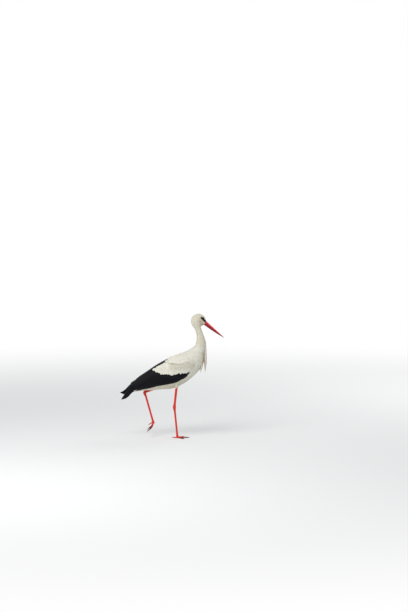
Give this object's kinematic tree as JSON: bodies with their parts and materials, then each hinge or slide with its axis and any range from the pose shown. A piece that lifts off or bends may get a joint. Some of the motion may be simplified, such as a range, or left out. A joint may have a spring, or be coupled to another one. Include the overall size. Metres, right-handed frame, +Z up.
{
  "type": "white stork",
  "caption": "Life-size still model of a walking white stork, standing on one foot with the other lifted behind it, neck raised and bill pointing forward and down.",
  "frame": {"origin": "middle of the bird's bounding box, on the floor it stands on", "axes": "+X the way the bird faces, +Y its left, +Z up"},
  "size_m": [0.7422, 0.1836, 0.8915],
  "materials": {
    "feathered_body": "skin and flesh under short soft white feathers",
    "white_plumage": "soft matt feathers",
    "flight_feathers": "black feathers with a faint sheen",
    "bill": "smooth red horn",
    "leg": "red scaly skin",
    "claw": "dull dark horn",
    "eye": "wet and glossy"
  },
  "bodies": {
    "root": {"ankle_left": "leg", "ankle_right": "leg", "bill_lower": "bill", "bill_upper": "bill", "claw_left_hallux": "claw", "claw_left_inner": "claw", "claw_left_middle": "claw", "claw_left_outer": "claw", "claw_right_hallux": "claw", "claw_right_inner": "claw", "claw_right_middle": "claw", "claw_right_outer": "claw", "eye_left": "eye", "eye_right": "eye", "foot_left": "leg", "foot_right": "leg", "head": "feathered_body", "neck_lower": "feathered_body", "neck_upper": "feathered_body", "plume_front": "white_plumage", "plume_left": "white_plumage", "plume_right": "white_plumage", "shin_left": "leg", "shin_right": "leg", "tail": "white_plumage", "tarsus_left": "leg", "tarsus_right": "leg", "thigh_left": "feathered_body", "thigh_right": "feathered_body", "toe_left_hallux": "leg", "toe_left_inner": "leg", "toe_left_middle": "leg", "toe_left_outer": "leg", "toe_right_hallux": "leg", "toe_right_inner": "leg", "toe_right_middle": "leg", "toe_right_outer": "leg", "trunk": "feathered_body", "wing_left_coverts": "white_plumage", "wing_left_primaries": "flight_feathers", "wing_left_secondaries": "flight_feathers", "wing_right_coverts": "white_plumage", "wing_right_primaries": "flight_feathers", "wing_right_secondaries": "flight_feathers"}
  },
  "joints": []
}
